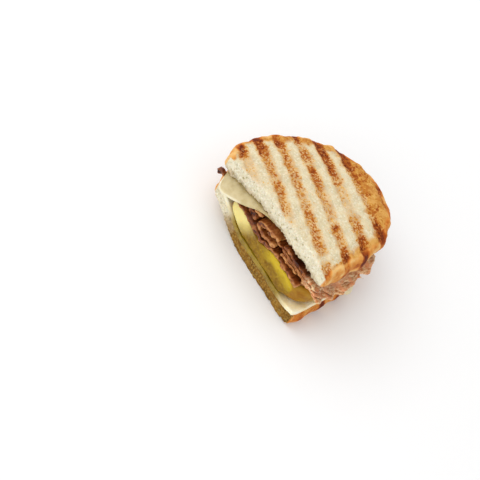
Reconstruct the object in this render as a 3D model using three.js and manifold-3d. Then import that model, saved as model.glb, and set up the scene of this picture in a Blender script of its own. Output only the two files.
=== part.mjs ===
// Half of a grilled panini with shaved steak, an egg patty and two slices of cheese.
// It is cut across its middle and lies on its lower slice of bread.
// Millimetres. +X runs along the cut, +Y from the cut to the far crust, +Z up.
import * as THREE from "three";
import { mergeVertices } from "three/addons/utils/BufferGeometryUtils.js";
import Module from "manifold-3d";

// ---- Driving dimensions ----
const HALF_WIDTH = 53; // half the slice, along the cut
const DEPTH = 84; // from the cut to the far crust
const LOWER_BREAD = 9.2; // thickness of the lower slice
const UPPER_BREAD = 10.6; // thickness of the upper slice
const HEIGHT = 52.6; // from the table to the top face, at the middle of the cut
const TILT = 0.07; // rise of the upper slice for each millimetre along +X
const CORNER_LIFT = 13.1; // how far the lower slice's left corner at the cut is bent up
const FLAT_TO = -24; // how far to the left the lower slice lies flat, well behind the cut
const CORNER_DROOP = 5.5; // how far the upper slice's left corner at the cut is bent down
const RIM_CURL = 2.2; // how far the lower slice's rim lifts off the table
const RIM_DROOP = 3; // how far the upper slice's rim hangs
const SAGGED = 0.6; // where the lower slice would stand up by less than this, it has sagged flat
const LOWER_SWELL = 2; // how much thicker the lower slice is at its crust
const UPPER_SWELL = 6.5; // how much thicker the upper slice is at its crust, away from the cut
const THIN_CUT = { share: -0.4, to: 24 }; // its share of that swelling at the cut, and where it is full
const THIN_RIGHT = { less: 0.7, from: 36, to: 56, x: 30 }; // less of it where the steak comes out
const CHEESE = 2.2;
const CHEESE_HANG = 7; // how far the upper slice of cheese hangs down in front of the cut
const HANG_FROM = 8.4; // where along Y it starts to hang
const HANG_TO = -6.3; // where along Y it hangs fully
const EGG = 14.5; // greatest thickness of the egg patty
const EGG_SHARE = 0.57; // its share of the room between the two cheeses, where that is less
const DIMPLE = { depth: 5.5, x: 2.5, radius: 11, back: 20 }; // pressed into the egg's edge at the cut
const CLEARANCE = 0.4; // between touching pieces
const ROUND = { crust: 4.4, egg: 5, cheese: 1 }; // how far in from the rim an edge is rounded

// The knife's plane leans back as it goes up, and a little along +X.
const KNIFE = { lean: 0.1, slant: 0.03 };

// Grill marks are grooves pressed into both outer faces. They fan out a little: mark n crosses x = 0 at
// first + n * pitch, and there its slope is slope + n * fan.
const RIB = { count: 7, pitch: 14.25, width: 6.6, depth: 1.1, first: -3.3, slope: -0.355, fan: 0.03 };
// A rib squeezes the crust out beside it, fully behind the Y of `to` and by `least` at the cut.
const BULGE = { out: 1.6, least: 0.3, from: 20, to: 60 };

// ---- Outlines, as shares of HALF_WIDTH and DEPTH, from the right end of the cut round to the left ----
// The points with a negative second share lie in front of the cut, which removes them.
const BREAD_OUTLINE = [
  [1.0, 0.0], [0.985, 0.22], [0.95, 0.38], [0.88, 0.59], [0.71, 0.79], [0.42, 0.935], [0.08, 0.985],
  [-0.37, 0.925], [-0.77, 0.74], [-1.01, 0.445], [-1.035, 0.2], [-0.87, 0.02], [-0.7, -0.2], [0.0, -0.27],
  [0.82, -0.2],
];
const EGG_OUTLINE = [
  [0.72, 0.02], [0.87, 0.075], [0.95, 0.17], [0.94, 0.34], [0.88, 0.52], [0.64, 0.78], [0.1, 0.92],
  [-0.42, 0.84], [-0.82, 0.6], [-0.86, 0.28], [-0.5, 0.03], [-0.36, -0.15], [0.1, -0.2], [0.5, -0.15],
];
const LOWER_CHEESE_OUTLINE = [
  [0.93, -0.02], [0.98, 0.04], [0.95, 0.3], [0.92, 0.5], [0.87, 0.62], [0.6, 0.72], [0.1, 0.76],
  [-0.55, 0.74], [-0.84, 0.56], [-0.9, 0.28], [-0.8, 0.02], [-0.6, -0.1], [0.1, -0.1], [0.8, -0.1],
];
const UPPER_CHEESE_OUTLINE = [
  [0.62, 0.1], [0.82, 0.18], [0.82, 0.42], [0.66, 0.68], [0.3, 0.82], [-0.5, 0.8],
  [-0.84, 0.56], [-0.92, 0.26], [-0.82, 0.05], [-0.68, -0.055], [-0.46, -0.035], [-0.28, 0.0],
  [-0.1, 0.05], [0.3, 0.1],
];

const smooth = (from, to, value) => {
  const t = THREE.MathUtils.clamp((value - from) / (to - from), 0, 1);
  return t * t * (3 - 2 * t);
};
const mix = THREE.MathUtils.lerp;

// ---- Heights of the layers ----
// About 0 at the middle of the cut and 1 at the crust.
function reach(x, y) {
  const across = Math.abs(x) / HALF_WIDTH;
  const along = Math.max(y, 0) / DEPTH;
  return (across ** 2.5 + along ** 2.5) ** 0.4;
}

const wave = (x, y, size) => (size * (Math.sin(x / 11 + y / 17) + Math.sin(y / 9 - x / 23 + 2))) / 2;
const nearCut = (y) => 1 - 0.75 * smooth(0, 55, y);
const rimward = (x, y) => smooth(0.62, 1.05, reach(x, y)) ** 1.4;

const flatTo = (y) => FLAT_TO * smooth(0, 45, y);
const lowerUnder = (x, y) =>
  Math.max(CORNER_LIFT * smooth(flatTo(y), -46, x) * nearCut(y), RIM_CURL * rimward(x, y), SAGGED) - SAGGED;
const lowerOver = (x, y) =>
  lowerUnder(x, y) + LOWER_BREAD + LOWER_SWELL * rimward(x, y) + wave(x, y, 0.5);
const upperOver = (x, y) =>
  HEIGHT + TILT * x - CORNER_DROOP * smooth(-8, -46, x) * nearCut(y) - RIM_DROOP * rimward(x, y);
function thinRight(x, y) {
  return THIN_RIGHT.less * smooth(THIN_RIGHT.from, THIN_RIGHT.to, y) * smooth(0, THIN_RIGHT.x, x);
}
const swollen = (x, y) => mix(THIN_CUT.share, 1, smooth(0, THIN_CUT.to, y)) * (1 - thinRight(x, y));
const upperUnder = (x, y) =>
  upperOver(x, y) - UPPER_BREAD - UPPER_SWELL * swollen(x, y) * rimward(x, y) + wave(y, x, 0.6);

const lowerCheeseOver = (x, y) => lowerOver(x, y) + CLEARANCE + CHEESE;
// Left of the middle the upper cheese hangs down, out of the cut.
const hang = (x, y) => CHEESE_HANG * smooth(HANG_FROM, HANG_TO, y) * smooth(10, -26, x);
const upperCheeseOver = (x, y) => upperUnder(x, y) - 2.5 * CLEARANCE - hang(x, y);
const upperCheeseUnder = (x, y) => upperCheeseOver(x, y) - CHEESE;

// Where there is less room the egg is thinner, and it dips at the cut.
const eggUnder = (x, y) => lowerCheeseOver(x, y) + 2 * CLEARANCE;
function eggOver(x, y) {
  const room = upperCheeseUnder(x, y) - eggUnder(x, y);
  const dip = Math.exp(-(((x - DIMPLE.x) / DIMPLE.radius) ** 2)) * smooth(DIMPLE.back, 0, y);
  return eggUnder(x, y) + Math.min(EGG, EGG_SHARE * room) - DIMPLE.depth * dip + wave(x * 1.3, y, 0.6);
}

// ---- Ways of making a solid ----
const wasm = await Module();
wasm.setup();

// A closed curve through an outline's points, in millimetres, as `count` points in order.
// `spread` widens its left half and `back` moves it along +Y.
function rimOf(outline, count, { back = 0, spread = 1 } = {}) {
  const through = outline.map(
    ([u, v]) => new THREE.Vector3((u < 0 ? u * spread : u) * HALF_WIDTH, v * DEPTH + back, 0),
  );
  const curve = new THREE.CatmullRomCurve3(through, true, "centripetal");
  return curve.getSpacedPoints(count).slice(0, count);
}

// A closed skin over loops of equal length, listed from the bottom up and running anticlockwise.
function skin(loops, first, last) {
  const n = loops[0].length;
  const positions = [first, ...loops.flat(), last].flatMap((p) => p.toArray());
  const at = (row, k) => 1 + row * n + (k % n);
  const end = 1 + loops.length * n;
  const index = [];
  for (let k = 0; k < n; k++) {
    index.push(0, at(0, k + 1), at(0, k));
    for (let row = 0; row + 1 < loops.length; row++) {
      index.push(at(row, k), at(row, k + 1), at(row + 1, k + 1));
      index.push(at(row, k), at(row + 1, k + 1), at(row + 1, k));
    }
    index.push(at(loops.length - 1, k), at(loops.length - 1, k + 1), end);
  }
  return indexed(positions, index);
}

function indexed(positions, index) {
  const geometry = new THREE.BufferGeometry();
  geometry.setAttribute("position", new THREE.Float32BufferAttribute(positions, 3));
  geometry.setIndex(index);
  return geometry;
}

// A flat piece of food between two height functions, inside a rim, with a rounded edge.
function layer({ rim, under, over, round, rings = 3, sides = 4 }) {
  const centre = middleOf(rim);
  const inset = (p, distance) => {
    const arm = p.clone().sub(centre);
    return centre.clone().addScaledVector(arm, 1 - distance / arm.length());
  };
  const raise = (p, share) => new THREE.Vector3(p.x, p.y, mix(under(p.x, p.y), over(p.x, p.y), share));
  const edge = [];
  for (let i = 0; i <= sides; i++) {
    const angle = Math.PI * (i / sides - 0.5);
    const distance = round * (1 - Math.cos(angle) ** 0.8);
    const lift = 0.5 + 0.5 * Math.sign(Math.sin(angle)) * Math.abs(Math.sin(angle)) ** 0.85;
    edge.push(rim.map((p) => raise(inset(p, distance), lift)));
  }
  const below = [];
  const above = [];
  for (let k = 1; k <= rings; k++) {
    const outward = (k / (rings + 1)) ** 0.7;
    const loop = (share) => rim.map((p) => raise(centre.clone().lerp(inset(p, round), outward), share));
    below.push(loop(0));
    above.unshift(loop(1));
  }
  return skin([...below, ...edge, ...above], raise(centre, 0), raise(centre, 1));
}

function middleOf(loop) {
  return loop.reduce((sum, p) => sum.addScaledVector(p, 1 / loop.length), new THREE.Vector3());
}

function solidOf(geometry) {
  const bare = geometry.clone();
  bare.deleteAttribute("normal");
  bare.deleteAttribute("uv");
  const merged = mergeVertices(bare, 1e-4);
  return new wasm.Manifold(
    new wasm.Mesh({
      numProp: 3,
      vertProperties: merged.attributes.position.array,
      triVerts: new Uint32Array(merged.index.array),
    }),
  );
}

function geometryOf(solid) {
  const mesh = solid.getMesh();
  return indexed(mesh.vertProperties, Array.from(mesh.triVerts));
}

// What lies behind the knife's plane, moved back by `back`.
function behindKnife(solid, back = 0) {
  const size = 300;
  const front = new THREE.BoxGeometry(size, size, size);
  front.translate(0, back - size / 2, 0);
  front.applyMatrix4(new THREE.Matrix4().makeShear(KNIFE.slant, 0, 0, 0, 0, KNIFE.lean));
  return solid.subtract(solidOf(front));
}

// ---- Grill marks ----
const ribSlope = (number) => RIB.slope + RIB.fan * number;
const ribNumber = (x, y) => (y - RIB.first - RIB.slope * x) / (RIB.pitch + RIB.fan * x);

function bulged(rim) {
  const centre = new THREE.Vector3(0, DEPTH * 0.4, 0);
  return rim.map((p) => {
    const pressed = 0.5 + 0.5 * Math.cos(2 * Math.PI * ribNumber(p.x, p.y));
    const out = BULGE.out * pressed * mix(BULGE.least, 1, smooth(BULGE.from, BULGE.to, p.y));
    const arm = p.clone().sub(centre);
    return centre.clone().addScaledVector(arm, 1 + out / arm.length());
  });
}

// A bar whose keel follows `face` at the depth of a groove. `side` is 1 over the bread and -1 under it.
function rib(number, face, side) {
  const steps = 8;
  const reachEachWay = 64;
  const spare = 8; // how far the bar stands clear of the bread
  const section = [[-0.5, 0], [-0.28, 1], [0.28, 1], [0.5, 0]];
  const loops = [];
  for (let i = 0; i <= steps; i++) {
    const x = mix(-reachEachWay, reachEachWay, i / steps);
    const middle = RIB.first + number * RIB.pitch + ribSlope(number) * x;
    const corner = (offset, lift) => {
      const y = middle + offset * RIB.width;
      return new THREE.Vector3(x, y, face(x, y) + side * lift);
    };
    const keel = section.map(([offset, share]) => corner(offset, 0.05 - RIB.depth * share));
    const loop = [...keel, corner(0.5, spare), corner(-0.5, spare)];
    loops.push(side > 0 ? loop : loop.reverse());
  }
  return skin(loops, middleOf(loops[0]), middleOf(loops[steps]));
}

function bread({ under, over, face, side, back, spread }) {
  const rim = bulged(rimOf(BREAD_OUTLINE, 66, { back, spread }));
  let slice = solidOf(layer({ rim, under, over, round: ROUND.crust }));
  for (let number = 0; number < RIB.count; number++) {
    slice = slice.subtract(solidOf(rib(number, face, side)));
  }
  return behindKnife(slice, back);
}

// ---- Fillings ----
// `solid` without what comes within CLEARANCE above a slice of bread.
function clearOf(solid, slice) {
  const raised = geometryOf(slice).translate(0, 0, CLEARANCE);
  return solid.subtract(solidOf(raised));
}

// The lower cheese has melted over the rounded edge of the crust.
const SAG = 5; // how far it has run down there
const SUNK = 1; // how far its underside is started inside the bread, before the bread is cut away
function lowerCheese(slice) {
  const sag = (x, y) => SAG * smooth(0.94, 1.1, reach(x, y));
  const under = (x, y) => lowerOver(x, y) - sag(x, y) - SUNK;
  const over = (x, y) => lowerCheeseOver(x, y) - sag(x, y);
  const rim = rimOf(LOWER_CHEESE_OUTLINE, 50);
  const whole = layer({ rim, under, over, round: ROUND.cheese, rings: 3, sides: 3 });
  return clearOf(behindKnife(solidOf(whole), -1), slice);
}

function eggPatty() {
  const whole = layer({ rim: rimOf(EGG_OUTLINE, 50), under: eggUnder, over: eggOver, round: ROUND.egg });
  return behindKnife(solidOf(whole), -0.5);
}

function upperCheese() {
  const rim = rimOf(UPPER_CHEESE_OUTLINE, 50);
  const faces = { under: upperCheeseUnder, over: upperCheeseOver };
  return layer({ rim, ...faces, round: ROUND.cheese, rings: 4, sides: 3 });
}

// ---- Steak ----
// Slices fill the gap between the egg and the upper cheese. Each is laid out in a plain section:
// u along the cut and h up from the egg, in millimetres, in a gap of GAP millimetres.
const GAP = 15;
const STEAK = 3.2; // greatest thickness of a slice, in that section
const TATTER = 2.5; // how far its hidden end is torn
const STEAK_LEVEL = 31.5; // about how high the slices are, to follow the knife's plane
const STEAK_SLICES = [
  // upper sheet, whose left end sticks out beside the crust
  { near: 1, far: 62, phase: 0.3, path: [[-42, 10.2], [-39, 12.0], [-30, 13.1], [-16, 12.8], [-4, 13.2]] },
  // hairpin that opens to the left
  {
    near: 0, far: 55, phase: 1.1,
    path: [[-36, 6.4], [-31, 7.4], [-22, 8.4], [-11, 9.1], [-7.4, 7.6], [-11, 5.8], [-25, 5.9]],
  },
  // loop that opens to the right
  {
    near: -0.8, far: 44, phase: 2.2,
    path: [[15, 13.2], [5, 13.3], [-1.2, 11.4], [-3.2, 8.9], [-1.2, 6.5], [5, 5.6], [15, 5.7]],
  },
  // lower sheet on the egg
  {
    near: -1.6, far: 72, phase: 3.1,
    path: [[-33, 1.9], [-26, 1.8], [-8, 1.9], [10, 2.0], [28, 1.8], [42, 2.0]],
  },
  // upper sheet on the right, out past the crust
  { near: 1.4, far: 48, phase: 4.4, path: [[19, 13.1], [32, 12.2], [46, 12.9], [54, 12.4]] },
  // middle sheet on the right, from inside the loop to where it stands out furthest
  {
    near: 1.2, far: 60, phase: 5.2,
    path: [[4, 9.2], [17, 9.2], [30, 8.5], [44, 8.9], [52, 8.8], [56.5, 9.2]],
  },
  // lower sheet on the right
  { near: 2, far: 43, phase: 6.1, path: [[40, 5.3], [47, 5.5], [52.5, 4.8], [56, 4.2]] },
  // scrap under the middle sheet
  { near: 0.8, far: 40, phase: 6.7, path: [[19, 5.2], [27, 4.9], [34, 5.4]] },
  // slice at the far crust
  { near: 66, far: 82, phase: 7.3, path: [[-42, 7.6], [-20, 10.2], [4, 7.6], [26, 10.0], [44, 8.0]] },
  // scrap pinched between the crusts at the left end of the cut
  {
    near: -1, far: 4.5, phase: 2.7, between: [lowerOver, upperUnder],
    path: [[-44.9, 6.9], [-46.6, 6.7], [-47.8, 5.2], [-48.2, 3.4]],
  },
];

// How much of its width at the cut the sandwich still has at depth y.
function narrowing(y) {
  const share = THREE.MathUtils.clamp(y / DEPTH, 0, 1);
  return Math.max((1 - share ** 2.4) ** 0.42, 0.42);
}

// A slice is a ribbon: its section's path, thickened, swept from `near` to `far` along Y.
function steakSlice({ path, near, far, phase, between = [eggOver, upperCheeseUnder] }) {
  const samples = Math.round(3.4 * (path.length - 1));
  const stations = Math.max(4, Math.round((far - near) / 6.5));
  const through = path.map(([u, h]) => new THREE.Vector3(u, h, 0));
  const curve = new THREE.CatmullRomCurve3(through, false, "centripetal");
  const line = curve.getSpacedPoints(samples);
  const loops = [];
  for (let j = 0; j <= stations; j++) {
    const y = mix(near, far, j / stations);
    const ragged = 1 + 0.035 * Math.sin(y / 3.1 + phase * 2) + 0.02 * Math.sin(y / 1.7 + phase);
    const faces = [[], []];
    line.forEach((p, i) => {
      const before = line[Math.max(i - 1, 0)];
      const after = line[Math.min(i + 1, samples)];
      const normal = new THREE.Vector2(before.y - after.y, after.x - before.x).normalize();
      const end = Math.min(i, samples - i) / samples;
      const half = STEAK * (0.42 + 0.08 * Math.sin(p.x / 3 + y / 4 + phase)) * (end > 0 ? 1 : 0.45);
      [half, -half].forEach((offset, face) => {
        const u = (p.x + normal.x * offset) * (end > 0.2 ? 1 : ragged);
        const h = THREE.MathUtils.clamp(p.y + normal.y * offset, 0.2, GAP - 0.2);
        const x = u * narrowing(y);
        const tatter = TATTER * Math.sin(x / 4.3 + phase) * (j / stations) ** 2;
        const depth = y + tatter + KNIFE.slant * x + KNIFE.lean * STEAK_LEVEL;
        const base = between[0](x, depth) + 1.5 * CLEARANCE;
        const roof = between[1](x, depth) - 1.5 * CLEARANCE;
        faces[face].push(new THREE.Vector3(x, depth, mix(base, roof, h / GAP)));
      });
    });
    loops.push([...faces[0], ...faces[1].reverse()]);
  }
  return ribbon(loops);
}

// A closed skin over sections whose first half is one face and whose second half is the other.
function ribbon(loops) {
  const n = loops[0].length;
  const index = [];
  const at = (row, k) => row * n + (k % n);
  for (let row = 0; row + 1 < loops.length; row++) {
    for (let k = 0; k < n; k++) {
      index.push(at(row, k), at(row, k + 1), at(row + 1, k + 1));
      index.push(at(row, k), at(row + 1, k + 1), at(row + 1, k));
    }
  }
  const last = loops.length - 1;
  for (let k = 0; k + 1 < n / 2; k++) {
    const across = n - 1 - k;
    index.push(at(0, k), at(0, across), at(0, k + 1), at(0, k + 1), at(0, across), at(0, across - 1));
    index.push(at(last, k), at(last, k + 1), at(last, across));
    index.push(at(last, k + 1), at(last, across - 1), at(last, across));
  }
  return indexed(loops.flat().flatMap((p) => p.toArray()), index);
}

// ---- The sandwich ----
const finish = (color, roughness) => new THREE.MeshStandardMaterial({ color, roughness, metalness: 0 });
const TOAST = finish(0xd9a860, 0.85);
const YOLK = finish(0xe8cf4a, 0.45);
const MELT = finish(0xe9e3b8, 0.35);
const MEAT = finish(0x8a5634, 0.55);

const sandwich = new THREE.Group();

function add(name, geometry, material) {
  geometry.computeVertexNormals();
  const mesh = new THREE.Mesh(geometry, material);
  mesh.name = name;
  sandwich.add(mesh);
}

const lowerFaces = { under: lowerUnder, over: lowerOver, face: lowerUnder, side: -1 };
const upperFaces = { under: upperUnder, over: upperOver, face: upperOver, side: 1 };
const lowerSlice = bread({ ...lowerFaces, back: 0, spread: 0.93 });
const upperSlice = bread({ ...upperFaces, back: 0.5, spread: 1.01 });

add("bread_lower", geometryOf(lowerSlice), TOAST);
add("cheese_lower", geometryOf(lowerCheese(lowerSlice)), MELT);
add("egg", geometryOf(eggPatty()), YOLK);
STEAK_SLICES.forEach((slice, i) => add(`steak_${i + 1}`, steakSlice(slice), MEAT));
add("cheese_upper", upperCheese(), MELT);
add("bread_upper", geometryOf(upperSlice), TOAST);

// The origin is at the middle of the bounding box's underside.
const box = new THREE.Box3().setFromObject(sandwich);
const middle = box.getCenter(new THREE.Vector3());
sandwich.position.set(-middle.x, -middle.y, -box.min.z);

export default sandwich;
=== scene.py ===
"""Half of a grilled steak and egg panini, lying on its lower slice of bread.

Lengths are in millimetres in the drawing's frame, in which x runs along the cut from its middle,
y goes from the cut to the far crust and z goes up from the table. placed() turns them into the
frame's metres.
"""

import itertools
from types import SimpleNamespace

import bmesh
import bpy
import numpy as np
from mathutils import Matrix, Vector


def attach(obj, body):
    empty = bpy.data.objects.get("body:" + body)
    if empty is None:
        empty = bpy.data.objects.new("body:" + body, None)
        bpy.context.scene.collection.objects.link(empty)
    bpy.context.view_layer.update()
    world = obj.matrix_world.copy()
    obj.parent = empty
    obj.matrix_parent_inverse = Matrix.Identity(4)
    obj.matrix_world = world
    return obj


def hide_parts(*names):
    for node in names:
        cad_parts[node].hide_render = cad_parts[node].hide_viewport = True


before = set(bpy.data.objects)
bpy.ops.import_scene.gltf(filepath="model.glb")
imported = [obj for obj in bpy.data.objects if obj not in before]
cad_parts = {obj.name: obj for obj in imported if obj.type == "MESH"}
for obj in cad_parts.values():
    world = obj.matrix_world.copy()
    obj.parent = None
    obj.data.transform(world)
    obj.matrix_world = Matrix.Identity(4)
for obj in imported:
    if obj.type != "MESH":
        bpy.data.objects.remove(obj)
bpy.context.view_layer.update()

MILLIMETRE = 0.001
SHIFT = np.array([-1.0374, -41.5027, 0.0])  # from the drawing's origin to the frame's

# ---- Driving dimensions, as the solids have them ----
HALF_WIDTH = 53
DEPTH = 84
HEIGHT = 52.6  # of the upper slice's face, at the middle of the cut
TILT = 0.07  # of the upper slice, up towards the right

LOWER_BREAD = 9.2  # how thick each slice is in its middle
UPPER_BREAD = 10.6
LOWER_SWELL = 2  # how much thicker it can be at its rim
UPPER_SWELL = 6.5
LOWER_SPREAD = 0.93  # how wide its left half is, as a share of HALF_WIDTH
UPPER_SPREAD = 1.01
BREAD_ROUNDING = 4.4
CORNER_END = -46  # where the left corners have their full lift and droop
CORNER_LIFT = 13.1
FLAT_TO = -24  # how far left the lower slice stays flat, away from the cut
RIM_CURL = 2.2
SAGGED = 0.6  # by how much the lower slice has sagged, to lie flat on the table
CORNER_DROOP = 5.5
RIM_DROOP = 3

CHEESE = 2.2
CHEESE_ROUNDING = 1.0
CHEESE_HANG = 7  # how far the upper cheese hangs down out of the cut
CHEESE_SAG = 5  # how far the lower cheese runs down over the crust
CHEESE_OVERLAP = 0.6  # how deep the lower cheese has melted into the bread
EGG = 14.5
EGG_SHARE = 0.57  # of the room between the cheeses, at most
EGG_ROUNDING = 5
DIMPLE_DEPTH = 5.5  # of the dip in the egg's edge at the cut
DIMPLE_X = 2.5
DIMPLE_RADIUS = 11
DIMPLE_BACK = 20
STEAK = 3.2
PINCHED_STEAK = 1.6 * STEAK  # the scrap between the crusts
STEAK_LEVEL = 31.5  # the height at which the steak's near ends follow the knife's lean
GAP = 15  # height of the room in which the steak's paths are given
CLEARANCE = 0.4

KNIFE_LEAN = 0.1  # how far the cut leans back for each millimetre up
KNIFE_SLANT = 0.03  # and how far it runs back for each millimetre to the right
# How far behind the lower slice's cut the others are cut. Below 0, they stand out of it.
UPPER_BACK = 0.5
EGG_BACK = -0.5
CHEESE_BACK = -1.0

RIB_PITCH = 14.25
RIB_WIDTH = 6.6
RIB_DEPTH = 1.1
RIB_FIRST = -3.3  # where the first mark crosses x = 0
RIB_SLOPE = -0.355  # how far it runs back for each millimetre to the right
RIB_FAN = 0.03  # how much wider the pitch gets for each millimetre to the right
BULGE = 1.6  # how far the rim is pressed out where a mark reaches it

# ---- Fineness of the meshes ----
RIM_POINTS = 300
CURVE_STEPS = 40
BREAD_VOXEL = 0.5
EGG_VOXEL = 0.6
CHEESE_VOXEL = 0.5
STEAK_VOXEL = 0.55
ACROSS_STEP = 0.7  # between the points of a slice of steak, along its path
ALONG_STEP = 0.9
FEWEST_STEPS = 24

# Outlines, as shares of HALF_WIDTH and DEPTH, from the right end of the cut round to the left.
BREAD_OUTLINE = [
    (1.0, 0.0), (0.985, 0.22), (0.95, 0.38), (0.88, 0.59), (0.71, 0.79), (0.42, 0.935),
    (0.08, 0.985), (-0.37, 0.925), (-0.77, 0.74), (-1.01, 0.445), (-1.035, 0.2), (-0.87, 0.02),
    (-0.7, -0.2), (0.0, -0.27), (0.82, -0.2),
]
EGG_OUTLINE = [
    (0.72, 0.02), (0.87, 0.075), (0.95, 0.17), (0.94, 0.34), (0.88, 0.52), (0.64, 0.78),
    (0.1, 0.92), (-0.42, 0.84), (-0.82, 0.6), (-0.86, 0.28), (-0.5, 0.03), (-0.36, -0.15),
    (0.1, -0.2), (0.5, -0.15),
]
LOWER_CHEESE_OUTLINE = [
    (0.93, -0.02), (0.98, 0.04), (0.95, 0.3), (0.925, 0.48), (0.955, 0.6), (0.6, 0.72),
    (0.1, 0.76), (-0.55, 0.74), (-0.84, 0.56), (-0.9, 0.28), (-0.8, 0.02), (-0.6, -0.1), (0.1, -0.1),
    (0.8, -0.1),
]
UPPER_CHEESE_OUTLINE = [
    (0.62, 0.1), (0.82, 0.18), (0.82, 0.42), (0.66, 0.68), (0.3, 0.82), (-0.5, 0.8),
    (-0.84, 0.56), (-0.92, 0.26), (-0.82, 0.05), (-0.68, -0.055), (-0.46, -0.035),
    (-0.28, 0.0), (-0.1, 0.05), (0.3, 0.1),
]


def smooth(start, end, value):
    """0 up to `start` and 1 from `end` on, with a soft step between them."""
    t = np.clip((value - start) / (end - start), 0, 1)
    return t * t * (3 - 2 * t)


# ---- Noise: each use of it below has a seed of its own ----
def lattice(cell, seed):
    """A repeatable value from 0 to 1 for each whole-numbered point of space."""
    mixed = cell[..., 0] * 374761393 + cell[..., 1] * 668265263 + cell[..., 2] * 1442695041
    mixed = mixed + seed * 362437
    mixed = (mixed ^ (mixed >> 13)) * 1274126177 & 0xFFFFFFFF
    mixed = (mixed ^ (mixed >> 15)) * 2246822519 & 0xFFFFFFFF
    return ((mixed ^ (mixed >> 16)) & 0xFFFFFF) / 0xFFFFFF


def noise(points, size, seed):
    """Smooth noise from -1 to 1. `size` is how wide its lumps are, one number or one for each axis."""
    at = points / size
    cell = np.floor(at).astype(np.int64)
    t = at - cell
    t = t * t * (3 - 2 * t)
    total = np.zeros(len(points))
    for corner in itertools.product((0, 1), repeat=3):
        weight = np.prod(np.where(corner, t, 1 - t), axis=1)
        total += weight * lattice(cell + corner, seed)
    return 2 * total - 1


def layered(points, size, seed, octaves=3):
    """Noise with finer and weaker noise on it."""
    size = np.asarray(size, float)
    return sum(noise(points, size / 2**k, seed + 17 * k) / 2**k for k in range(octaves))


def pores(points, size, share, seed):
    """How deep each point lies in a scatter of round holes: 0 outside them and 1 at their middles."""
    at = points / size
    base = np.floor(at).astype(np.int64)
    deepest = np.zeros(len(points))
    for step in itertools.product((-1, 0, 1), repeat=3):
        cell = base + step
        middle = cell + np.stack([lattice(cell, seed + k) for k in range(3)], axis=-1)
        radius = 0.25 + 0.4 * lattice(cell, seed + 3)
        there = lattice(cell, seed + 4) < share
        depth = 1 - np.linalg.norm(at - middle, axis=1) / radius
        deepest = np.maximum(deepest, np.where(there, depth, 0))
    return deepest


# ---- Heights of the layers: each function takes places along x and y and gives a height ----
def reach(x, y):
    """0 at the middle of the cut and about 1 at the crust."""
    return ((np.abs(x) / HALF_WIDTH) ** 2.5 + (np.maximum(y, 0) / DEPTH) ** 2.5) ** 0.4


def wave(x, y, size):
    """A gentle unevenness of up to `size`."""
    return size * (np.sin(x / 11 + y / 17) + np.sin(y / 9 - x / 23 + 2)) / 2


def near_cut(y):
    """1 at the cut and less towards the far crust."""
    return 1 - 0.75 * smooth(0, 55, y)


def rimward(x, y):
    """0 in the middle of a slice and 1 at its rim."""
    return smooth(0.62, 1.05, reach(x, y)) ** 1.4


def lower_under(x, y):
    corner = CORNER_LIFT * smooth(FLAT_TO * smooth(0, 45, y), CORNER_END, x) * near_cut(y)
    return np.maximum(np.maximum(corner, RIM_CURL * rimward(x, y)) - SAGGED, 0)


def lower_over(x, y):
    return lower_under(x, y) + LOWER_BREAD + LOWER_SWELL * rimward(x, y) + wave(x, y, 0.5)


def upper_over(x, y):
    droop = CORNER_DROOP * smooth(-8, CORNER_END, x) * near_cut(y) + RIM_DROOP * rimward(x, y)
    return HEIGHT + TILT * x - droop


def swollen(x, y):
    """How much of UPPER_SWELL the crust has: none at the cut, little where the steak comes out."""
    return (1.4 * smooth(0, 24, y) - 0.4) * (1 - 0.7 * smooth(36, 56, y) * smooth(0, 30, x))


def upper_under(x, y):
    swell = UPPER_SWELL * swollen(x, y) * rimward(x, y)
    return upper_over(x, y) - UPPER_BREAD - swell + wave(y, x, 0.6)


def lower_cheese_over(x, y):
    return lower_over(x, y) + CLEARANCE + CHEESE


def upper_cheese_over(x, y):
    hang = CHEESE_HANG * smooth(8.4, -6.3, y) * smooth(10, -26, x)
    return upper_under(x, y) - 2.5 * CLEARANCE - hang


def upper_cheese_under(x, y):
    return upper_cheese_over(x, y) - CHEESE


def egg_under(x, y):
    return lower_cheese_over(x, y) + 2 * CLEARANCE


def egg_over(x, y):
    room = upper_cheese_under(x, y) - egg_under(x, y)
    across = np.exp(-(((x - DIMPLE_X) / DIMPLE_RADIUS) ** 2))
    dimple = DIMPLE_DEPTH * across * smooth(DIMPLE_BACK, 0, y)
    return egg_under(x, y) + np.minimum(EGG, EGG_SHARE * room) - dimple + wave(x * 1.3, y, 0.6)


def behind_knife(points, back=0.0):
    """How far behind the cut each point is."""
    x, y, z = points.T
    return y - back - KNIFE_SLANT * x - KNIFE_LEAN * z


def on_cut(knife):
    """1 on the cut and 0 from 0.9 mm behind it on."""
    return smooth(0.9, 0.3, knife)


def rib_number(x, y):
    """Which grill mark each point is at: a whole number in the middle of a mark."""
    return (y - RIB_FIRST - RIB_SLOPE * x) / (RIB_PITCH + RIB_FAN * x)


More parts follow.
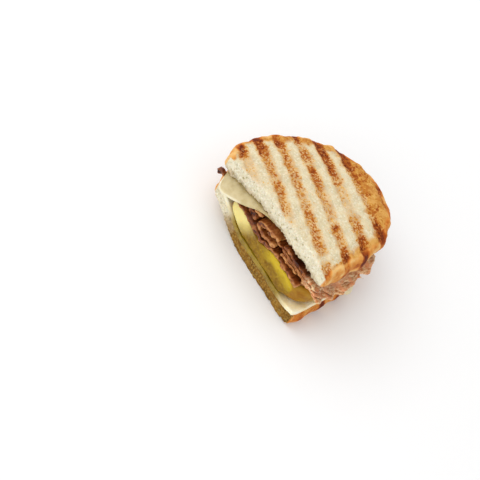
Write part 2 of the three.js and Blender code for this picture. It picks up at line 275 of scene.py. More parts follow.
# ---- Ways of making a mesh ----
def curve_through(points, count, closed=False):
    """`count` evenly spaced points on a centripetal curve through `points`."""
    points = np.asarray(points, float)
    if closed:
        ring = np.vstack([points[-1:], points, points[:2]])
    else:
        ring = np.vstack([2 * points[0] - points[1], points, 2 * points[-1] - points[-2]])
    t = np.linspace(0, 1, CURVE_STEPS, endpoint=False)[:, None]
    fine = []
    for a, b, c, d in zip(ring, ring[1:], ring[2:], ring[3:]):
        before, here, after = (np.linalg.norm(step) ** 0.5 for step in (b - a, c - b, d - c))
        leaving = ((b - a) / before - (c - a) / (before + here) + (c - b) / here) * here
        arriving = ((c - b) / here - (d - b) / (here + after) + (d - c) / after) * here
        fine.append(
            b + leaving * t + (3 * (c - b) - 2 * leaving - arriving) * t**2
            + (2 * (b - c) + leaving + arriving) * t**3
        )
    fine.append(points[:1] if closed else points[-1:])
    line = np.vstack(fine)
    run = np.r_[0, np.cumsum(np.linalg.norm(np.diff(line, axis=0), axis=1))]
    at = np.linspace(0, run[-1], count, endpoint=not closed)
    return np.column_stack([np.interp(at, run, line[:, k]) for k in range(line.shape[1])])


def rim_of(outline, back=0.0, spread=1.0):
    """An outline in millimetres, its left half `spread` times as wide."""
    widened = [((u * spread if u < 0 else u) * HALF_WIDTH, v * DEPTH + back) for u, v in outline]
    return curve_through(widened, RIM_POINTS, closed=True)


def placed(points):
    """Points of the drawing, as the frame has them."""
    return (points + SHIFT) * MILLIMETRE


def drawn(points):
    """Points of the frame, as the drawing has them."""
    return points / MILLIMETRE - SHIFT


def flattened(points):
    """The same points at height 0, for noise that doesn't change with the height."""
    return points * (1, 1, 0)


def mesh_object(name, points, faces):
    mesh = bpy.data.meshes.new(name)
    mesh.from_pydata(placed(points).tolist(), [], faces)
    thing = bpy.data.objects.new(name, mesh)
    bpy.context.scene.collection.objects.link(thing)
    return thing


def skin_faces(rows, n):
    """Faces of a closed skin over `rows` loops of `n` points, with a point before and one after."""
    faces = []
    end = 1 + rows * n
    for k in range(n):
        after = (k + 1) % n
        faces.append((0, 1 + after, 1 + k))
        for row in range(rows - 1):
            low = 1 + row * n
            faces.append((low + k, low + after, low + n + after, low + n + k))
        top = end - n
        faces.append((top + k, top + after, end))
    return faces


def layer(name, rim, under, over, rounding, rings=14, sides=10):
    """A flat piece of food between two height functions, inside a rim, with a rounded edge."""
    centre = rim.mean(0)
    arm = rim - centre
    length = np.linalg.norm(arm, axis=1, keepdims=True)

    def raised(flat, share):
        x, y = flat.T
        low = under(x, y)
        return np.column_stack([x, y, low + (over(x, y) - low) * share])

    inner = centre + arm * (1 - rounding / length)
    outward = [(k / (rings + 1)) ** 0.7 for k in range(1, rings + 1)]
    loops = [raised(centre + (inner - centre) * share, 0) for share in outward]
    for angle in np.pi * (np.arange(sides + 1) / sides - 0.5):
        inset = rounding * (1 - np.cos(angle) ** 0.8)
        lift = 0.5 + 0.5 * np.sign(np.sin(angle)) * np.abs(np.sin(angle)) ** 0.85
        loops.append(raised(centre + arm * (1 - inset / length), lift))
    loops += [raised(centre + (inner - centre) * share, 1) for share in reversed(outward)]
    ends = [raised(centre[None], share) for share in (0, 1)]
    points = np.vstack([ends[0], *loops, ends[1]])
    return mesh_object(name, points, skin_faces(len(loops), len(rim)))


def cut(thing, back):
    """Takes away what is in front of the knife's plane, and closes the cut."""
    work = bmesh.new()
    work.from_mesh(thing.data)
    normal = Vector((-KNIFE_SLANT, 1, -KNIFE_LEAN)).normalized()
    place = Vector(placed(np.array([0.0, back, 0.0])))
    everything = work.verts[:] + work.edges[:] + work.faces[:]
    bmesh.ops.bisect_plane(work, geom=everything, plane_co=place, plane_no=normal, clear_inner=True)
    bmesh.ops.holes_fill(work, edges=[edge for edge in work.edges if edge.is_boundary])
    bmesh.ops.triangulate(work, faces=[face for face in work.faces if len(face.verts) > 4])
    work.to_mesh(thing.data)
    work.free()


def remesh(thing, voxel):
    """Turns a closed mesh into an even grid of small faces."""
    grid = thing.modifiers.new("grid", "REMESH")
    grid.mode = "VOXEL"
    grid.voxel_size = voxel * MILLIMETRE
    seen = thing.evaluated_get(bpy.context.evaluated_depsgraph_get())
    mesh = bpy.data.meshes.new_from_object(seen)
    thing.modifiers.clear()
    thing.data = mesh


def points_of(thing):
    flat = np.empty(len(thing.data.vertices) * 3, np.float32)
    thing.data.vertices.foreach_get("co", flat)
    return drawn(flat.reshape(-1, 3).astype(float))


def normals_of(thing):
    flat = np.empty(len(thing.data.vertices) * 3, np.float32)
    thing.data.vertex_normals.foreach_get("vector", flat)
    return flat.reshape(-1, 3).astype(float)


def move(thing, points):
    thing.data.vertices.foreach_set("co", placed(points).astype(np.float32).ravel())
    thing.data.update()


def note(thing, name, values):
    """Keeps one number for each point, which the material reads."""
    field = thing.data.attributes.new(name, "FLOAT", "POINT")
    field.data.foreach_set("value", np.asarray(values, np.float32))


def finish_piece(thing, material, slot, *nodes):
    thing.data.polygons.foreach_set("use_smooth", [True] * len(thing.data.polygons))
    thing.data.materials.clear()
    thing.data.materials.append(material)
    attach(thing, "root")
    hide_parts(*nodes)


def standing_out(thing, rounds):
    """How far each point stands out of the surface around it, and below 0 how deep it lies."""
    pairs = np.empty(len(thing.data.edges) * 2, np.int32)
    thing.data.edges.foreach_get("vertices", pairs)
    a, b = pairs.reshape(-1, 2).T
    points = points_of(thing)
    n = len(points)
    neighbours = np.bincount(a, minlength=n) + np.bincount(b, minlength=n)
    level = points
    for _ in range(rounds):
        sums = [np.bincount(a, level[b, k], n) + np.bincount(b, level[a, k], n) for k in range(3)]
        level = np.column_stack(sums) / np.maximum(neighbours, 1)[:, None]
    return ((points - level) * normals_of(thing)).sum(1)


def distance_to(line, points):
    """How far each point is from a closed line, seen from above."""
    nearest = np.full(len(points), np.inf)
    for a, b in zip(line, np.roll(line, -1, axis=0)):
        step = b - a
        away = points - a
        t = np.clip(away @ step / (step @ step), 0, 1)
        nearest = np.minimum(nearest, ((away - t[:, None] * step) ** 2).sum(1))
    return np.sqrt(nearest)


# ---- Materials ----
class Shader:
    """A material's nodes, each made with its inputs in one call."""

    def __init__(self, name):
        self.material = bpy.data.materials.new(name)
        self.material.use_nodes = True
        self.tree = self.material.node_tree
        self.surface = self.tree.nodes["Principled BSDF"]

    def add(self, kind, inputs=None, **settings):
        node = self.tree.nodes.new("ShaderNode" + kind)
        for key, value in settings.items():
            setattr(node, key, value)
        for key, value in (inputs or {}).items():
            self.put(node.inputs[key], value)
        return node

    def put(self, socket, value):
        if isinstance(value, bpy.types.NodeSocket):
            self.tree.links.new(value, socket)
        else:
            socket.default_value = value

    def place(self):
        """Where a point of the surface is, in metres."""
        return self.add("TexCoord").outputs["Object"]

    def field(self, name):
        """The numbers that note() keeps."""
        return self.add("Attribute", attribute_name=name).outputs["Fac"]

    def speckle(self, size, detail, stretch=(1, 1, 1)):
        """Noise from 0 to 1 with lumps `size` millimetres wide."""
        scaled = self.add("Mapping", {"Vector": self.place(), "Scale": stretch}).outputs[0]
        inputs = {"Vector": scaled, "Scale": 1 / (size * MILLIMETRE), "Detail": detail}
        return self.add("TexNoise", {**inputs, "Roughness": 0.6}).outputs["Fac"]

    def math(self, operation, a, b, c=None):
        node = self.add("Math", {0: a, 1: b}, operation=operation)
        if c is not None:
            self.put(node.inputs[2], c)
        return node.outputs[0]

    def ramp(self, value, stops):
        """A run of colours, each at its place from 0 to 1."""
        node = self.add("ValToRGB", {"Fac": value})
        while len(node.color_ramp.elements) < len(stops):
            node.color_ramp.elements.new(0.5)
        for element, (position, colour) in zip(node.color_ramp.elements, stops):
            element.position = position
            element.color = linear(colour)
        return node.outputs[0]

    def between(self, value, low, high):
        """0 below `low` and 1 above `high`."""
        node = self.add("MapRange", {0: value, 1: low, 2: high}, interpolation_type="SMOOTHSTEP")
        return node.outputs[0]

    def mix(self, share, a, b):
        """Colour `a` where `share` is 0 and colour `b` where it is 1."""
        node = self.add("Mix", {"Factor": share}, data_type="RGBA", blend_type="MIX")
        for socket, value in ((node.inputs[6], a), (node.inputs[7], b)):
            self.put(socket, linear(value) if isinstance(value, tuple) else value)
        return node.outputs[2]

    def bump(self, height, distance, strength, normal=None):
        """Relief `distance` millimetres deep, on top of that of `normal`."""
        inputs = {"Height": height, "Distance": distance * MILLIMETRE, "Strength": strength}
        node = self.add("Bump", inputs)
        if normal is not None:
            self.put(node.inputs["Normal"], normal)
        return node.outputs[0]

    def finish(self, **inputs):
        """Sets what the surface reads, with _ for a space in an input's name."""
        for key, value in inputs.items():
            self.put(self.surface.inputs[key.replace("_", " ")], value)
        return self.material


def linear(colour):
    """A colour of 0 to 255, as seen on a screen, as the shader takes it."""
    share = np.array(colour) / 255
    light = np.where(share <= 0.04045, share / 12.92, ((share + 0.055) / 1.055) ** 2.4)
    return (*light.tolist(), 1.0)


def bread_material():
    s = Shader("toasted bread")
    grain = s.speckle(1.3, 2.0)
    fine = s.speckle(0.8, 2.0)
    blot = s.speckle(2.6, 2.0)
    patch = s.speckle(6.0, 3.0)
    large = s.between(patch, 0.35, 0.65)
    small = s.between(grain, 0.42, 0.7)
    crumb = s.mix(small, s.mix(large, (206, 191, 154), (222, 205, 167)), (230, 219, 191))
    open_crumb = s.mix(small, s.mix(large, (216, 206, 176), (230, 219, 188)), (238, 231, 209))
    crumb = s.mix(s.field("cut"), crumb, open_crumb)
    # Soaked crumb: partly real soaking, partly painted shade on the cut.
    soaked_and_painted_shade = s.mix(small, s.mix(large, (106, 70, 12), (144, 102, 34)), (176, 136, 62))
    crumb = s.mix(s.field("soaked_and_painted_shade"), crumb, soaked_and_painted_shade)
    # Painted shade in the crumb's hollows.
    crumb = s.mix(s.field("painted_pore_shade"), crumb, (160, 146, 96))
    golden = s.mix(large, (188, 118, 44), (216, 162, 86))
    crumb = s.mix(s.field("golden"), crumb, golden)
    toast = s.field("toast")
    spread = s.math("MULTIPLY_ADD", grain, 1.9, s.math("MULTIPLY_ADD", toast, 0.55, -0.47))
    cover = s.between(spread, 0.56, 0.86)
    tone = s.math("MULTIPLY_ADD", fine, 0.9, s.math("MULTIPLY_ADD", blot, 1.1, -1.02))
    tone = s.math("MULTIPLY_ADD", toast, 0.9, tone)
    toasted = s.ramp(tone, [
        (0.08, (224, 180, 100)), (0.28, (206, 148, 62)), (0.48, (182, 112, 36)), (0.7, (162, 78, 12)),
        (1.0, (98, 34, 2)),
    ])
    face = s.mix(s.math("MULTIPLY", cover, s.between(toast, 0.02, 0.12)), crumb, toasted)
    # The crust's real bake, with painted shade in its hollows.
    baked_and_hollow_shade = s.math("MULTIPLY_ADD", s.math("SUBTRACT", grain, 0.5), 0.4, s.field("bake_and_hollow_shade"))
    skin = s.ramp(baked_and_hollow_shade, [
        (0.0, (234, 190, 122)), (0.25, (224, 158, 80)), (0.5, (204, 122, 46)), (0.75, (164, 76, 20)),
        (1.0, (100, 36, 10)),
    ])
    colour = s.mix(s.field("crust"), face, skin)
    rough = s.bump(s.speckle(0.5, 3.0), 0.12, 0.5)
    rough = s.bump(grain, 0.35, 0.6, rough)
    return s.finish(
        Base_Color=colour, Roughness=0.7, Normal=rough, Subsurface_Weight=0.1,
        Subsurface_Scale=0.0015, Subsurface_Radius=(1.0, 0.6, 0.3), Specular_IOR_Level=0.15,
    )


def egg_material():
    s = Shader("cooked egg")
    grain = s.speckle(1.6, 4.0)
    patch = s.between(s.speckle(8.0, 3.0), 0.35, 0.65)
    # The cut's dark golden is egg colour darkened with painted shade over the middle of the cut.
    inside = s.mix(patch, (126, 90, 8), (154, 118, 14))
    inside = s.mix(s.between(grain, 0.5, 0.8), inside, (182, 146, 32))
    # Painted highlight along the top of the cut, on the right.
    inside = s.mix(s.field("painted_highlight"), inside, (206, 176, 30))
    # Painted light: the cut is paler at its left end.
    inside = s.mix(s.field("pale"), inside, (242, 224, 142))
    # The skin's browns are real browning, darkened in part as painted shade for the recessed right end.
    skin = s.mix(patch, (178, 134, 34), (152, 100, 14))
    colour = s.mix(s.field("cut"), skin, inside)
    rough = s.bump(grain, 0.25, 0.5)
    return s.finish(
        Base_Color=colour, Roughness=0.42, Normal=rough, Subsurface_Weight=0.2,
        Subsurface_Scale=0.003, Subsurface_Radius=(1.0, 0.7, 0.2), Specular_IOR_Level=0.2,
    )


def cheese_material():
    s = Shader("melted cheese")
    patch = s.between(s.speckle(7.0, 3.0), 0.35, 0.65)
    # Oily yellow, partly the cheese's own colour and partly painted shade where the cheese lies in
    # shade.
    oily_and_painted_shade = s.mix(patch, (134, 106, 10), (162, 134, 26))
    cream = s.mix(patch, (248, 230, 180), (254, 245, 214))
    colour = s.mix(s.field("cream"), oily_and_painted_shade, cream)
    # Painted highlight along the edge that hangs out on the left.
    colour = s.mix(s.field("edge"), colour, (240, 232, 204))
    soft = s.bump(s.speckle(3.0, 3.0), 0.3, 0.5)
    return s.finish(
        Base_Color=colour, Roughness=0.28, Normal=soft, Subsurface_Weight=0.25,
        Subsurface_Scale=0.003, Subsurface_Radius=(1.0, 0.85, 0.5), Specular_IOR_Level=0.5,
    )


def steak_material():
    s = Shader("shaved steak")
    fibre = s.speckle(1.2, 3.0, stretch=(1, 0.35, 1))
    patch = s.speckle(5.0, 2.0)
    share = s.math("MULTIPLY_ADD", fibre, 0.3, s.math("MULTIPLY_ADD", patch, 0.6, -0.45))
    # Ridges lighter, as seared tan edges, and hollows darker, as painted shade.
    share = s.math("ADD", share, s.math("MULTIPLY_ADD", s.field("ridge_and_hollow_shade"), 0.5, s.field("tone")))
    meat = s.ramp(share, [
        (0.05, (34, 10, 2)), (0.25, (78, 30, 6)), (0.45, (122, 60, 20)), (0.65, (162, 98, 46)),
        (0.9, (204, 144, 84)),
    ])
    flap = s.mix(s.between(fibre, 0.38, 0.62), (200, 124, 66), (255, 222, 172))
    flap = s.mix(s.between(patch, 0.45, 0.65), flap, (236, 164, 114))
    colour = s.mix(s.field("pale"), meat, flap)
    rough = s.bump(fibre, 0.4, 0.6)
    return s.finish(
        Base_Color=colour, Roughness=0.34, Normal=rough, Subsurface_Weight=0.1,
        Subsurface_Scale=0.002, Subsurface_Radius=(1.0, 0.35, 0.2), Specular_IOR_Level=0.35,
    )


# ---- Bread ----
ABOVE = 1
BELOW = -1

# How dark each grill mark is at places along x: 0 where there is no mark and 1 where it is burnt.
MARKS = [
    [(-52, 0.95), (-44, 0.7), (-40, 0.25), (-25, 0.12), (-15, 0.0)],
    [
        (-50, 1.0), (-46, 0.95), (-38, 0.5), (-23, 0.5), (-20, 0.25), (-17, 0.6), (-8, 0.55), (3, 0.45),
        (9, 0.12), (16, 0.0),
    ],
    [
        (-50, 0.75), (-44, 0.9), (-38, 0.5), (-10, 0.5), (3, 0.35), (9, 0.65), (14, 0.55), (24, 0.5),
        (30, 0.65), (37, 0.5), (40, 0.0), (43, 0.1), (46, 0.55), (50, 0.3),
    ],
    [
        (-44, 0.9), (-38, 0.4), (-32, 0.6), (-26, 0.6), (-23, 0.25), (-18, 0.75), (-11, 0.65), (-2, 0.5),
        (8, 0.35), (18, 0.35), (21, 0.1), (24, 0.8), (29, 0.55), (37, 0.5), (41, 0.8), (50, 0.95),
    ],
    [
        (-34, 1.0), (-24, 0.95), (-14, 0.7), (-4, 0.6), (0, 0.3), (14, 0.12), (19, 0.1), (23, 0.5),
        (34, 0.55), (38, 0.9), (44, 0.95),
    ],
    [(-16, 1.0), (-9, 0.9), (-3, 0.6), (10, 0.5), (26, 0.5), (31, 0.85), (38, 0.95)],
    [(0, 0.5), (8, 0.8), (18, 0.7), (30, 0.5)],
]


def grill_mark(x, y):
    """Three numbers from 0 to 1 for each point: how near it is to the middle of a grill mark, the
    same for the mark's wider halo, and how dark the mark is there."""
    number = rib_number(x, y)
    nearest = np.clip(np.round(number), 0, len(MARKS) - 1)
    away = np.abs(number - nearest) * (RIB_PITCH + RIB_FAN * x)
    away = away + 0.8 * layered(np.column_stack([x, y, 0 * x]), 4.0, 5, 2)
    mark = 1 - smooth(0.2 * RIB_WIDTH, 0.6 * RIB_WIDTH, away)
    halo = 1 - smooth(0.3 * RIB_WIDTH, 0.85 * RIB_WIDTH, away)
    dark = np.zeros(len(x))
    for row, run in enumerate(MARKS):
        dark = np.where(nearest == row, np.interp(x, *zip(*run)), dark)
    return mark, halo, dark


def bulged(rim):
    """A slice's outline, with a bulge wherever a grill mark reaches it."""
    centre = np.array([0.0, DEPTH * 0.4])
    pressed = 0.5 + 0.5 * np.cos(2 * np.pi * rib_number(*rim.T))
    bulge = BULGE * pressed * (0.3 + 0.7 * smooth(20, 60, rim[:, 1]))
    arm = rim - centre
    return centre + arm * (1 + bulge[:, None] / np.linalg.norm(arm, axis=1, keepdims=True))


def measured(slice_, rim, under, over, side, back):
    """What the relief and the colours of a slice go by: its points, which shape_bread() moves
    afterwards, and numbers for each of them from before that."""
    p = points_of(slice_)
    x, y, z = p.T
    knife = behind_knife(p, back)
    face = over(x, y) if side == ABOVE else under(x, y)
    deep = (face - z) * side
    thick = over(x, y) - under(x, y)
    mark, halo, dark = grill_mark(x, y)
    return SimpleNamespace(
        points=p, flat=flattened(p), knife=knife, cut=on_cut(knife),
        from_rim=distance_to(rim, p[:, :2]), deep=deep, thick=thick,
        outer=smooth(0.55, 0.05, deep / thick), mark=mark, halo=halo, dark=dark,
    )


def shape_bread(slice_, at, side):
    """The grill marks, the lumps of the crust, and the crumb at the cut."""
    p = at.points
    out_of = normals_of(slice_)
    p[:, 2] -= side * RIB_DEPTH * at.mark * at.outer * (0.55 + 0.45 * at.dark)
    lumps = 0.3 * layered(p, 7.0, 11) + 0.16 * layered(p, 2.0, 12, 2)
    lumps += 0.85 * layered(at.flat, 8.0, 13, 2) * smooth(6, 1, at.from_rim)
    lumps -= 0.35 * pores(p, 2.4, 0.3, 31) * (1 - at.cut)
    p += out_of * (lumps * (1 - at.cut))[:, None]

    # The cut has holes of three sizes and a torn surface, most torn at its inner edge.
    holes = 1.2 * pores(p, 3.6, 0.14, 41) + 0.8 * pores(p, 1.9, 0.4, 51) + 0.4 * pores(p, 1.1, 0.6, 61)
    inner = smooth(1.5, 0, at.thick - at.deep) * at.cut
    p[:, 1] += (holes + 0.25 * layered(p, 1.5, 71)) * at.cut
    p[:, 2] += side * (0.35 * at.cut + 1.5 * inner) * layered(p, 1.6, 81, 2)
    p[:, 2] = np.maximum(p[:, 2], 0)
    move(slice_, p)


def colour_bread(slice_, at, side):
    """Where the material shows crust, crumb, toasted marks, and soaked crumb darkened with painted
    shade.
    """
    p = at.points
    x, y, _ = p.T
    rim_noise = 1.1 * layered(at.flat, 5.0, 91)
    crust = smooth(4.6, 2.6, at.from_rim + rim_noise - 1.2 * at.mark * at.dark) * (1 - at.cut)
    note(slice_, "crust", np.maximum(crust, at.cut * smooth(1.5, 0.8, at.from_rim)))

    # The marks, and a toasted border that is wider towards the far crust.
    toast = (0.45 * at.mark + 0.55 * at.halo) * at.dark * (1 + 0.25 * layered(p, 2.8, 97, 2))
    wide = 4 + 4.5 * smooth(12, 45, y)
    border = smooth(wide + 2, wide - 2, at.from_rim + 1.6 * rim_noise)
    border = np.maximum(border, smooth(63, 69, y + 0.2 * x + 3 * rim_noise))
    mottled = 0.3 + 0.4 * layered(p, 5.0, 94) + 0.4 * at.mark * at.dark
    toast = np.maximum(toast, border * mottled) + 0.12 * smooth(0.35, 0.9, layered(at.flat, 3.0, 98))
    on_face = at.outer * (1 - at.cut * smooth(0.2, 0.8, at.deep))
    note(slice_, "toast", np.clip(toast, 0, 1) * on_face)
    note(slice_, "golden", np.maximum(border, 0.75 * at.halo * np.sqrt(at.dark)) * on_face)

    # The cut: the lower slice is soaked and darkened with painted shade but for its left end, the upper
    # one only at its inner edge.
    inward = smooth(4.0, 0.5, at.thick - at.deep + 1.5 * noise(p, 3.0, 95))
    rightward = smooth(-29, -15, x + 5 * noise(p, 5.0, 96))
    note(slice_, "soaked_and_painted_shade", at.cut * (0.45 * inward if side == ABOVE else rightward))
    note(slice_, "cut", smooth(2.5, 0, at.knife))

    # Painted shade: hollows are darker, in the crumb as on the crust.
    depth = standing_out(slice_, 6)
    note(slice_, "painted_pore_shade", smooth(0.08, 0.5, -depth))
    bake_and_hollow_shade = 0.31 + 0.45 * layered(p, 8.0, 99) + 0.5 * at.mark * at.dark
    note(slice_, "bake_and_hollow_shade", np.clip(bake_and_hollow_shade + 0.5 * np.clip(-depth, -0.3, 0.5), 0, 1))


def bread(name, under, over, side, back, spread):
    """A slice, whose outer face is on `side`."""
    rim = bulged(rim_of(BREAD_OUTLINE, back, spread))
    slice_ = layer(name, rim, under, over, BREAD_ROUNDING)
    cut(slice_, back)
    remesh(slice_, BREAD_VOXEL)
    at = measured(slice_, rim, under, over, side, back)
    shape_bread(slice_, at, side)
    colour_bread(slice_, at, side)
    return slice_


# ---- Fillings ----
def egg_patty():
    """The egg, with painted light at the left end of its cut and a painted highlight along the top on
    the right.
    """
    rim = rim_of(EGG_OUTLINE)
    patty = layer("egg_patty", rim, egg_under, egg_over, EGG_ROUNDING)
    cut(patty, EGG_BACK)
    remesh(patty, EGG_VOXEL)
    p = points_of(patty)
    out_of = normals_of(patty)
    at_cut = on_cut(behind_knife(p, EGG_BACK))
    lumps = 0.45 * layered(p, 8.0, 111) + 0.12 * layered(p, 2.4, 112, 2)
    p += out_of * (lumps * (1 - 0.6 * at_cut))[:, None]
    p[:, 1] += 0.6 * pores(p, 2.6, 0.3, 121) * at_cut
    move(patty, p)
    x, y, z = p.T
    # Painted light: paler at the left end of the cut.
    note(patty, "pale", smooth(5, -14, x - 0.93 * (z - 24) + 2 * noise(p, 6.0, 113)))
    # Painted highlight near the top of the cut, on the right.
    near_top = smooth(9, 2, egg_over(x, y) - z + 2 * noise(p, 4.0, 114))
    note(patty, "painted_highlight", near_top * smooth(6, 20, x) * smooth(48, 38, x))
    note(patty, "cut", at_cut)
    return patty


def cheese_slice(name, rim, under, over, back, cream, edge_highlight):
    """A slice of cheese, cut where `back` says, if at all. `cream` is how pale each point is, and
    the last argument how strong the painted highlight is on the edge that hangs out on the left."""
    piece = layer(name, rim, under, over, CHEESE_ROUNDING, rings=16, sides=6)
    if back is not None:
        cut(piece, back)
    remesh(piece, CHEESE_VOXEL)
    p = points_of(piece)
    p[:, 2] += 0.3 * layered(flattened(p), 9.0, 131)
    move(piece, p)
    x, y, _ = p.T
    note(piece, "cream", cream(x, y))
    hanging = smooth(-16, -26, x) * smooth(3, 0, y)
    # The hanging edge's painted highlight.
    note(piece, "edge", edge_highlight * hanging * smooth(0.8, 0.2, distance_to(rim, p[:, :2])))
    return piece


def lower_cheese():
    """The cheese on the lower slice, melted down over the crust."""

    def sag(x, y):
        return CHEESE_SAG * smooth(0.94, 1.1, reach(x, y))

    def under(x, y):
        return lower_over(x, y) - sag(x, y) - CHEESE_OVERLAP

    def over(x, y):
        return lower_cheese_over(x, y) - sag(x, y)

    def cream(x, y):
        # Pale at the cream right end and at the left end; between them darker, as painted shade.
        right = smooth(34, 48, x + 0.5 * y) * (1 - 0.3 * smooth(30, 45, y))
        return np.maximum(right, smooth(-16, -30, x))

    rim = rim_of(LOWER_CHEESE_OUTLINE)
    return cheese_slice("melted_cheese_lower", rim, under, over, CHEESE_BACK, cream, 0)


def upper_cheese():
    """The cheese under the upper slice, which hangs out on the left, with a painted highlight along its
    edge.
    """

    def cream(x, y):
        # Painted shade: darker where the cheese lies under the bread, paler where it hangs out.
        return 0.25 + 0.2 * smooth(8, -3, y)

    rim = rim_of(UPPER_CHEESE_OUTLINE)
    under, over = upper_cheese_under, upper_cheese_over
    return cheese_slice("melted_cheese_upper", rim, under, over, None, cream, 0.8)


# Each slice of steak: where it starts and ends along y, a number that sets how ragged it is, how
# light its meat is, and the path of its section, as places along the cut and heights up to GAP.
STEAK_SLICES = [
    (1, 62, 0.3, 0.6, [(-42, 10.2), (-39, 12.0), (-30, 13.1), (-16, 12.8), (-4, 13.2)]),
    (0, 55, 1.1, 0.34, [
        (-36, 6.4), (-31, 7.4), (-22, 8.4), (-11, 9.1), (-7.4, 7.6), (-11, 5.8), (-25, 5.9),
    ]),
    (-0.8, 44, 2.2, 0.5, [
        (15, 13.2), (5, 13.3), (-1.2, 11.4), (-3.2, 8.9), (-1.2, 6.5), (5, 5.6), (15, 5.7),
    ]),
    (-1.6, 72, 3.1, 0.36, [(-33, 1.9), (-26, 1.8), (-8, 1.9), (10, 2.0), (28, 1.8), (42, 2.0)]),
    (1.4, 48, 4.4, 0.26, [(19, 13.1), (32, 12.2), (46, 12.9), (54, 12.4)]),
    (1.2, 60, 5.2, 0.42, [(4, 9.2), (17, 9.2), (30, 8.5), (44, 8.9), (52, 8.8), (56.5, 9.2)]),
    (2, 43, 6.1, 0.6, [(40, 5.3), (47, 5.5), (52.5, 4.8), (56, 4.2)]),
    (0.8, 40, 6.7, 0.55, [(19, 5.2), (27, 4.9), (34, 5.4)]),
    (66, 82, 7.3, 0.4, [(-42, 7.6), (-20, 10.2), (4, 7.6), (26, 10.0), (44, 8.0)]),
    (-1, 4.5, 2.7, 0.22, [(-43.2, 9.6), (-45.6, 9.4), (-47.2, 6.6), (-47.8, 3.8)]),
]
PINCHED = 10  # the number of the scrap that lies between the crusts, not between egg and cheese


def narrowing(y):
    """How wide the steak lies at each place along y, as a share of its width at the cut."""
    share = np.clip(y / DEPTH, 0, 1)
    return np.maximum((1 - share**2.4) ** 0.42, 0.42)


def tube_faces(across, rows):
    """Faces of a closed tube of `rows` loops, each with `across` points out and as many back."""
    n = 2 * across
    last = (rows - 1) * n
    faces = []
    for low in range(0, last, n):
        for k in range(n):
            after = (k + 1) % n
            faces.append((low + k, low + after, low + n + after, low + n + k))
    for k in range(across - 1):
        faces.append((k, n - 1 - k, n - 2 - k, k + 1))
        faces.append((last + k, last + k + 1, last + n - 2 - k, last + n - 1 - k))
    return faces


def ribbon(name, near, far, phase, path, bottom, top, thick):
    """A section's path, thickened and swept from `near` to `far`, between two height functions."""
    length = np.linalg.norm(np.diff(np.array(path), axis=0), axis=1).sum()
    across = max(FEWEST_STEPS, round(length / ACROSS_STEP))
    stations = max(FEWEST_STEPS, round((far - near) / ALONG_STEP))
    line = curve_through(path, across)
    tangent = np.gradient(line, axis=0)
    tangent /= np.linalg.norm(tangent, axis=1, keepdims=True)
    normal = np.column_stack([-tangent[:, 1], tangent[:, 0]])
    share = np.arange(across) / (across - 1)
    end = np.minimum(share, 1 - share)
    taper = 0.45 + 0.55 * smooth(0, 1.6 / length, end)
    loops = []
    for y in np.linspace(near, far, stations):
        ragged = 1 + 0.035 * np.sin(y / 3.1 + phase * 2) + 0.02 * np.sin(y / 1.7 + phase)
        stretch = 1 + (ragged - 1) * smooth(0.25, 0.0, end)
        tatter = 2.5 * np.sin(line[:, 0] / 4.3 + phase) * ((y - near) / (far - near)) ** 2
        sides = []
        for sign in (1, -1):
            half = thick * (0.4 + 0.08 * np.sin(line[:, 0] / 3 + y / 4 + phase)) * taper
            u = (line[:, 0] + sign * normal[:, 0] * half) * stretch
            h = np.clip(line[:, 1] + sign * normal[:, 1] * half, 0.2, GAP - 0.2)
            x = u * narrowing(y)
            depth = y + tatter + KNIFE_SLANT * x + KNIFE_LEAN * STEAK_LEVEL
            base = bottom(x, depth) + 1.5 * CLEARANCE
            roof = top(x, depth) - 1.5 * CLEARANCE
            sides.append(np.column_stack([x, depth, base + (roof - base) * h / GAP]))
        loops.append(np.vstack([sides[0], sides[1][::-1]]))
    return mesh_object(name, np.vstack(loops), tube_faces(across, len(loops)))


def steak_slice(number, near, far, phase, tone, path):
    """One of STEAK_SLICES, with its fibres and the torn meat at the cut."""
    name = f"steak_slice_{number}"
    if number == PINCHED:
        piece = ribbon(name, near, far, phase, path, lower_over, upper_under, PINCHED_STEAK)
    else:
        piece = ribbon(name, near, far, phase, path, egg_over, upper_cheese_under, STEAK)
    remesh(piece, STEAK_VOXEL)
    p = points_of(piece)
    out_of = normals_of(piece)
    seed = 200 + 10 * number
    lumps = 0.5 * layered(p, (4.0, 8.0, 3.0), seed, 2) + 0.16 * layered(p, (1.1, 4.0, 1.1), seed + 3, 2)
    p += out_of * lumps[:, None]
    p[:, 1] += 0.9 * noise(p, (2.0, 30.0, 1.6), seed + 5) * smooth(4, 0, behind_knife(p))
    move(piece, p)
    pale = smooth(40, 47, p[:, 0] / narrowing(p[:, 1])) * (0.75 + 0.25 * noise(p, 5.0, seed + 7))
    note(piece, "pale", np.clip(pale, 0, 1))
    note(piece, "tone", np.full(len(p), tone))
    # Ridges light as tan edges; hollows darker, as painted shade.
    note(piece, "ridge_and_hollow_shade", np.clip(standing_out(piece, 8) / 0.8, -1, 1))
    return piece


# ---- The sandwich ----
BREAD = bread_material()
EGG_SKIN = egg_material()
MELT = cheese_material()
MEAT = steak_material()

lower = bread("toasted_slice_lower", lower_under, lower_over, BELOW, 0.0, LOWER_SPREAD)
finish_piece(lower, BREAD, "bread", "bread_lower")
upper = bread("toasted_slice_upper", upper_under, upper_over, ABOVE, UPPER_BACK, UPPER_SPREAD)
finish_piece(upper, BREAD, "bread", "bread_upper")
finish_piece(egg_patty(), EGG_SKIN, "egg", "egg")
finish_piece(lower_cheese(), MELT, "cheese", "cheese_lower")
finish_piece(upper_cheese(), MELT, "cheese", "cheese_upper")
for number, layout in enumerate(STEAK_SLICES, 1):
    finish_piece(steak_slice(number, *layout), MEAT, "steak", f"steak_{number}")

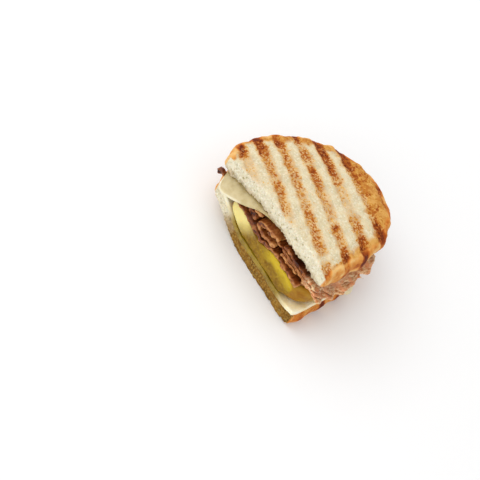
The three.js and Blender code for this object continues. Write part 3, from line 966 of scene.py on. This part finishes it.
# ---- Camera: its right, up and back axes in the drawing's frame ----
TARGET = np.array([-1.7, -7.6, 20.7])
CAMERA_UP = Vector((-0.8054, 0.2700, 0.5276))
CAMERA_BACK = Vector((0.333, -0.530, 0.780))
CAMERA_RIGHT = CAMERA_UP.cross(CAMERA_BACK).normalized()
DISTANCE = 900
LENS = 112.1
SENSOR_WIDTH = 36
CLIP_END = 20  # in metres

camera = bpy.data.objects.new("camera", bpy.data.cameras.new("camera"))
bpy.context.scene.collection.objects.link(camera)
axes = Matrix((CAMERA_RIGHT, CAMERA_BACK.cross(CAMERA_RIGHT).normalized(), CAMERA_BACK)).transposed()
eye = placed(TARGET + DISTANCE * np.array(CAMERA_BACK))
camera.matrix_world = Matrix.Translation(eye) @ axes.to_4x4()
camera.data.lens = LENS
camera.data.sensor_width = SENSOR_WIDTH
camera.data.clip_end = CLIP_END
bpy.context.scene.camera = camera

# ---- Floor and light, in metres ----
FLOOR_SIZE = 3.0
FLOOR_COLOUR = (0.93, 0.93, 0.93, 1)
LAMP_DISTANCE = 1.2
SKY_STRENGTH = 0.75

bpy.ops.mesh.primitive_plane_add(size=FLOOR_SIZE)
floor = bpy.context.object
floor.name = "floor"
paint = Shader("floor paint")
floor.data.materials.append(paint.finish(Base_Color=FLOOR_COLOUR, Roughness=0.9))


def softbox(name, toward, size, power):
    """A square light `toward` the given shares of the camera's right, up and back axes."""
    lamp = bpy.data.lights.new(name, "AREA")
    lamp.shape = "SQUARE"
    lamp.size = size
    lamp.energy = power
    thing = bpy.data.objects.new(name, lamp)
    bpy.context.scene.collection.objects.link(thing)
    right, up, back = toward
    way = (CAMERA_RIGHT * right + CAMERA_UP * up + CAMERA_BACK * back).normalized()
    middle = Vector(placed(TARGET))
    thing.location = middle + way * LAMP_DISTANCE
    thing.rotation_euler = way.to_track_quat("Z", "Y").to_euler()


softbox("key", (0.0, 0.8, 0.6), 1.4, 7.5)
softbox("fill", (-0.4, -0.3, 0.8), 1.2, 3)

world = bpy.data.worlds.new("studio")
bpy.context.scene.world = world
world.use_nodes = True
sky = world.node_tree.nodes["Background"].inputs
sky["Color"].default_value = (1, 1, 1, 1)
sky["Strength"].default_value = SKY_STRENGTH
bpy.context.scene.view_settings.view_transform = "Standard"
